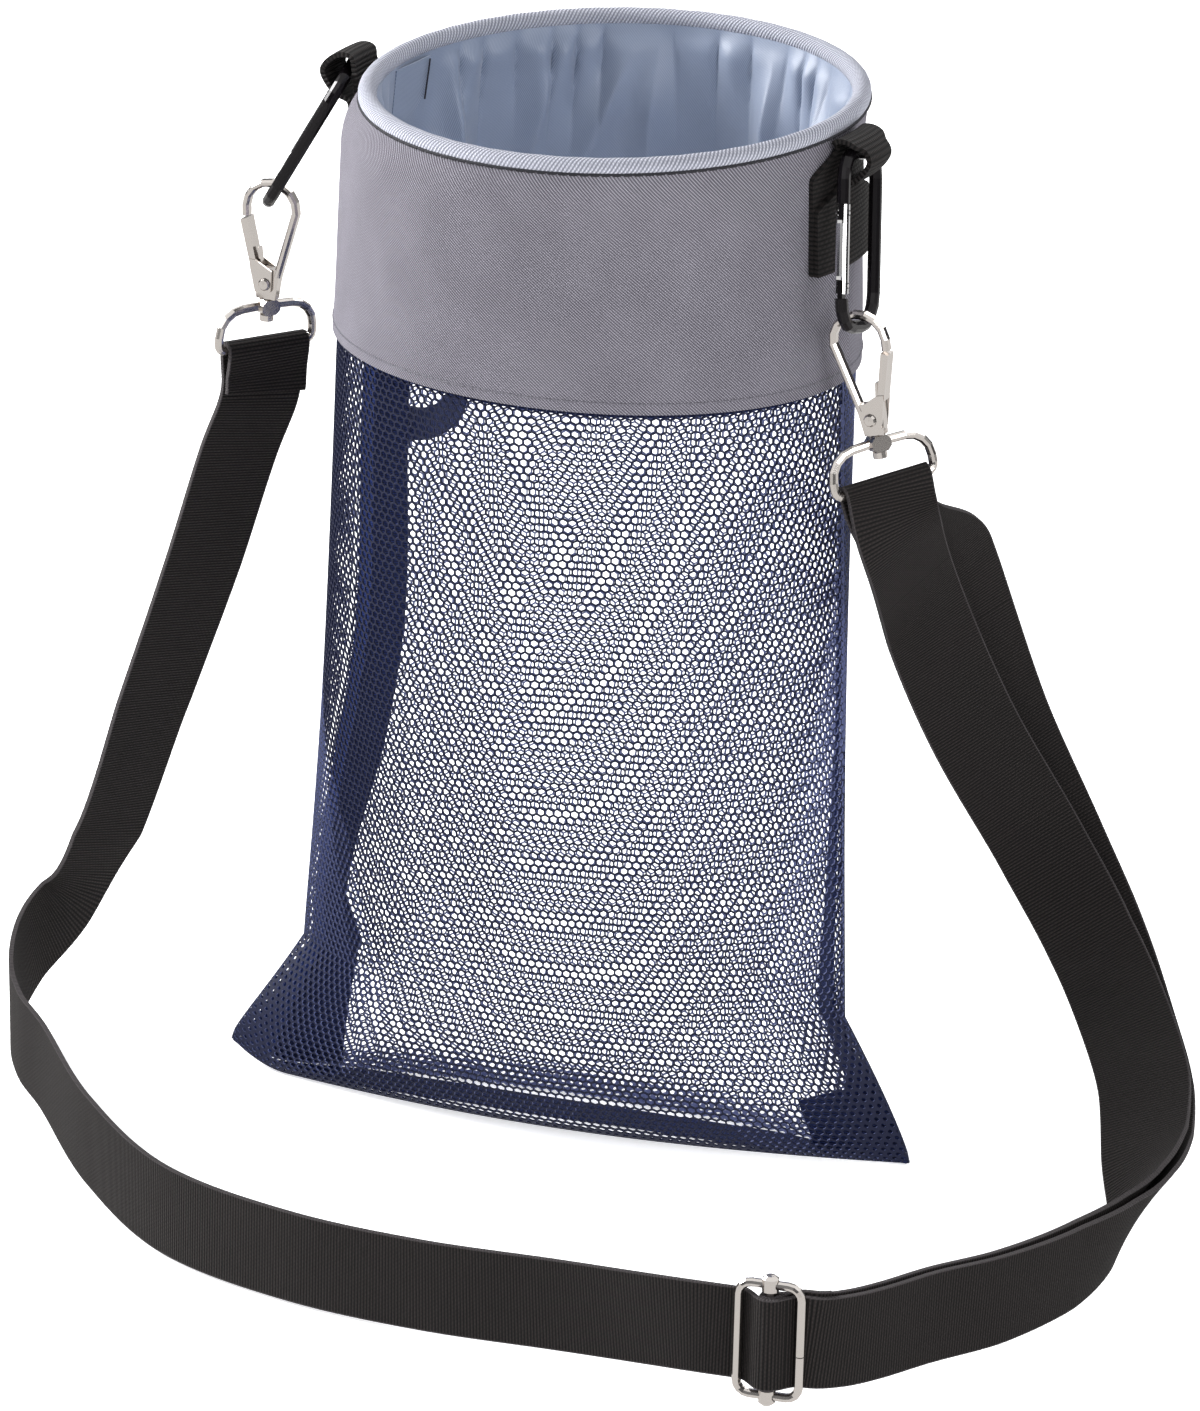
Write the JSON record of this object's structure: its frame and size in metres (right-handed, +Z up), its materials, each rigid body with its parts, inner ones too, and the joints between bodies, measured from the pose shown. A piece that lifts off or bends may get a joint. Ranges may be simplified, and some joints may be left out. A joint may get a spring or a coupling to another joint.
{
  "type": "peg bag",
  "caption": "Net peg bag with a round stiffened mouth, grey collar, satin lining, spring clips on webbing loops and an adjustable shoulder strap.",
  "frame": {"origin": "middle of the base, on the surface that the bag stands on", "axes": "+X to the right webbing loop, +Y to the back, +Z up"},
  "size_m": [0.4026, 0.27, 0.35],
  "materials": {
    "net": "navy knitted hexagon net",
    "binding_tape": "navy woven tape",
    "collar_cloth": "grey coated weave",
    "satin": "pale blue-grey satin",
    "hoop_wire": "drawn wire",
    "webbing": "black ribbed webbing",
    "anodised": "black anodised",
    "gate_metal": "bright",
    "nickel": "nickel plated"
  },
  "bodies": {
    "bag": {"mesh_front_panel": "net", "mesh_back_panel": "net", "side_seam_left": "binding_tape", "side_seam_right": "binding_tape", "bottom_seam_binding": "binding_tape", "collar_outer": "collar_cloth", "collar_lining": "satin", "collar_seam_tape": "binding_tape", "rim_piping": "collar_cloth", "rim_hoop": "hoop_wire", "webbing_loop_left": "webbing", "webbing_loop_right": "webbing", "strap_left": "webbing", "strap_front": "webbing", "strap_right": "webbing", "strap_return": "webbing"},
    "carabiner_right": {"carabiner_body_right": "anodised", "carabiner_gate_pin_right": "gate_metal"},
    "carabiner_gate_right": {"carabiner_gate_right": "gate_metal", "carabiner_latch_pin_right": "gate_metal"},
    "hook_right": {"snap_hook_body_right": "nickel", "snap_hook_rivet_right": "nickel"},
    "hook_gate_right": {"snap_hook_gate_right": "nickel", "snap_hook_spring_right": "nickel"},
    "ring_right": {"d_ring_right": "nickel"},
    "carabiner_left": {"carabiner_body_left": "anodised", "carabiner_gate_pin_left": "gate_metal"},
    "carabiner_gate_left": {"carabiner_gate_left": "gate_metal", "carabiner_latch_pin_left": "gate_metal"},
    "hook_left": {"snap_hook_body_left": "nickel", "snap_hook_rivet_left": "nickel"},
    "hook_gate_left": {"snap_hook_gate_left": "nickel", "snap_hook_spring_left": "nickel"},
    "ring_left": {"d_ring_left": "nickel"},
    "slider": {"slider_frame": "nickel"},
    "slider_bar": {"slider_bar": "nickel"}
  },
  "joints": [
    {"name": "carabiner_swing_right", "type": "hinge", "parent": "bag", "child": "carabiner_right", "pos_m": [0.08946, -0.005, 0.342], "axis": [-0.0315, -0.9659, 0.2569], "range_deg": [0, 45], "deforming": ["strap_right"]},
    {"name": "carabiner_gate_open_right", "type": "hinge", "parent": "carabiner_right", "child": "carabiner_gate_right", "pos_m": [0.09388, -0.02817, 0.30603], "axis": [-0.9925, 0, -0.1219], "range_deg": [0, 25], "stiffness_Nm_per_rad": 0.08, "springref_deg": -8.59},
    {"name": "hook_swing_right", "type": "hinge", "parent": "carabiner_right", "child": "hook_right", "pos_m": [0.09582, -0.01898, 0.29023], "axis": [-0.0315, -0.9659, 0.2569], "range_deg": [0, 45], "deforming": ["strap_right"]},
    {"name": "hook_gate_open_right", "type": "hinge", "parent": "hook_right", "child": "hook_gate_right", "pos_m": [0.10248, -0.01898, 0.26139], "axis": [0, -1, 0], "range_deg": [0, 20], "stiffness_Nm_per_rad": 0.06, "springref_deg": -8.59},
    {"name": "ring_swivel_right", "type": "hinge", "parent": "hook_right", "child": "ring_right", "pos_m": [0.1043, -0.01898, 0.2535], "axis": [-0.225, 0, 0.9744], "continuous": true, "deforming": ["strap_right"]},
    {"name": "carabiner_swing_left", "type": "hinge", "parent": "bag", "child": "carabiner_left", "pos_m": [-0.08946, 0.005, 0.342], "axis": [-0.2022, 0.9724, 0.1167], "range_deg": [-6, 45], "deforming": ["strap_left"]},
    {"name": "carabiner_gate_open_left", "type": "hinge", "parent": "carabiner_left", "child": "carabiner_gate_left", "pos_m": [-0.11259, 0.01764, 0.30801], "axis": [0.8421, 0.2334, -0.4862], "range_deg": [0, 25], "stiffness_Nm_per_rad": 0.08, "springref_deg": -8.59},
    {"name": "hook_swing_left", "type": "hinge", "parent": "carabiner_left", "child": "hook_left", "pos_m": [-0.11646, 0.005, 0.29524], "axis": [-0.2022, 0.9724, 0.1167], "range_deg": [-4, 45], "deforming": ["strap_left"]},
    {"name": "hook_gate_open_left", "type": "hinge", "parent": "hook_left", "child": "hook_gate_left", "pos_m": [-0.11749, 0.005, 0.26565], "axis": [0, 1, 0], "range_deg": [0, 20], "stiffness_Nm_per_rad": 0.06, "springref_deg": -8.59},
    {"name": "ring_swivel_left", "type": "hinge", "parent": "hook_left", "child": "ring_left", "pos_m": [-0.11778, 0.005, 0.25756], "axis": [0.0349, 0, 0.9994], "continuous": true, "deforming": ["strap_left"]},
    {"name": "slider_adjust", "type": "slide", "parent": "bag", "child": "slider", "axis": [0.9925, 0.1219, 0], "range_m": [-0.015, 0.015], "deforming": ["strap_front", "strap_return"]},
    {"name": "slider_bar_slide", "type": "slide", "parent": "slider", "child": "slider_bar", "axis": [0.9925, 0.1219, 0], "range_m": [-0.003, 0.003], "deforming": ["strap_front", "strap_return"]}
  ]
}
